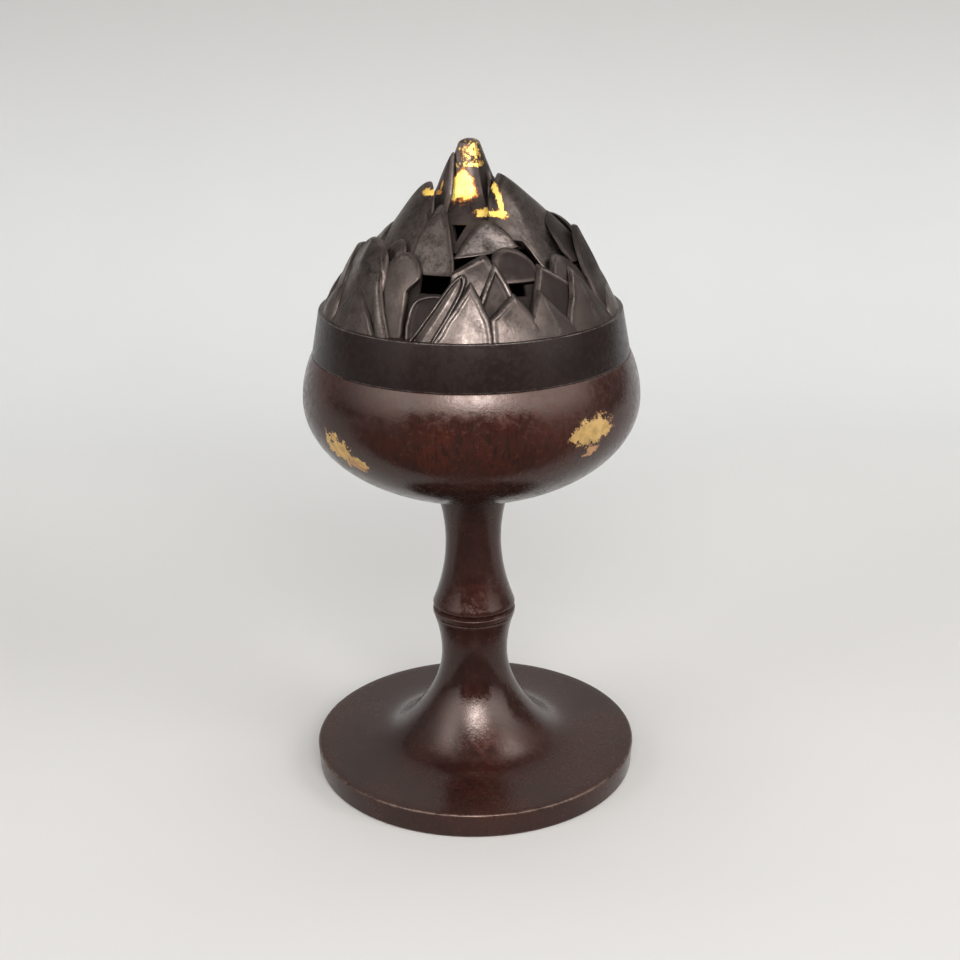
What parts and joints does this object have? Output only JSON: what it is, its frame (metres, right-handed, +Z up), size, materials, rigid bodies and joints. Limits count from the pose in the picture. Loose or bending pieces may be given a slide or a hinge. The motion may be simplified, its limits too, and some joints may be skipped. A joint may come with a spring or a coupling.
{
  "type": "hill censer",
  "caption": "Bronze incense burner: a round bowl on a slender stem and trumpet foot, under a lift-off openwork lid of overlapping hills.",
  "frame": {"origin": "on the vessel's axis, on the surface that it stands on", "axes": "+Z up along the axis of the vessel, the front of the hill lid faces -Y, +X to the front's right"},
  "size_m": [0.098, 0.098, 0.1908],
  "materials": {
    "brown_bronze": "smooth reddish brown patina with gold splashes",
    "dark_bronze": "dark worn patina with gold splashes at the summit",
    "steel": "dull zinc",
    "copper": "oxidised copper"
  },
  "bodies": {
    "stand": {"foot": "brown_bronze", "stem_ring": "brown_bronze", "upper_stem": "brown_bronze", "bowl": "brown_bronze", "tie_rod": "steel", "foot_washer": "steel", "foot_nut": "steel"},
    "liner": {"ash_liner": "copper"},
    "lid": {"lid_rim": "dark_bronze", "lid_dome": "dark_bronze", "rim_hill_1": "dark_bronze", "rim_hill_2": "dark_bronze", "rim_hill_3": "dark_bronze", "rim_hill_4": "dark_bronze", "rim_hill_5": "dark_bronze", "rim_hill_6": "dark_bronze", "rim_hill_7": "dark_bronze", "rim_hill_8": "dark_bronze", "rim_hill_9": "dark_bronze", "rim_hill_10": "dark_bronze", "rim_hill_11": "dark_bronze", "rim_hill_12": "dark_bronze", "rim_hill_13": "dark_bronze", "rim_hill_14": "dark_bronze", "rim_hill_15": "dark_bronze", "rim_hill_16": "dark_bronze", "rim_hill_17": "dark_bronze", "tall_hill_1": "dark_bronze", "tall_hill_2": "dark_bronze", "tall_hill_3": "dark_bronze", "tall_hill_4": "dark_bronze", "tall_hill_5": "dark_bronze", "tall_hill_6": "dark_bronze", "tall_hill_7": "dark_bronze", "tall_hill_8": "dark_bronze", "tall_hill_9": "dark_bronze", "tall_hill_10": "dark_bronze", "tall_hill_11": "dark_bronze", "tall_hill_12": "dark_bronze", "inner_hill_1": "dark_bronze", "inner_hill_2": "dark_bronze", "inner_hill_3": "dark_bronze", "petal_1": "dark_bronze", "petal_2": "dark_bronze", "petal_3": "dark_bronze", "petal_4": "dark_bronze", "petal_5": "dark_bronze", "petal_6": "dark_bronze", "petal_7": "dark_bronze", "upper_leaf_1": "dark_bronze", "upper_leaf_2": "dark_bronze", "upper_leaf_3": "dark_bronze", "upper_leaf_4": "dark_bronze", "upper_leaf_5": "dark_bronze", "upper_leaf_6": "dark_bronze", "side_peak_1": "dark_bronze", "side_peak_2": "dark_bronze", "side_peak_3": "dark_bronze", "summit_peak": "dark_bronze"}
  },
  "joints": [
    {"name": "liner_lift", "type": "slide", "parent": "stand", "child": "liner", "axis": [0, 0, 1], "range_m": [0, 0.06]},
    {"name": "lid_lift", "type": "slide", "parent": "liner", "child": "lid", "axis": [0, 0, 1], "range_m": [0, 0.08]}
  ]
}
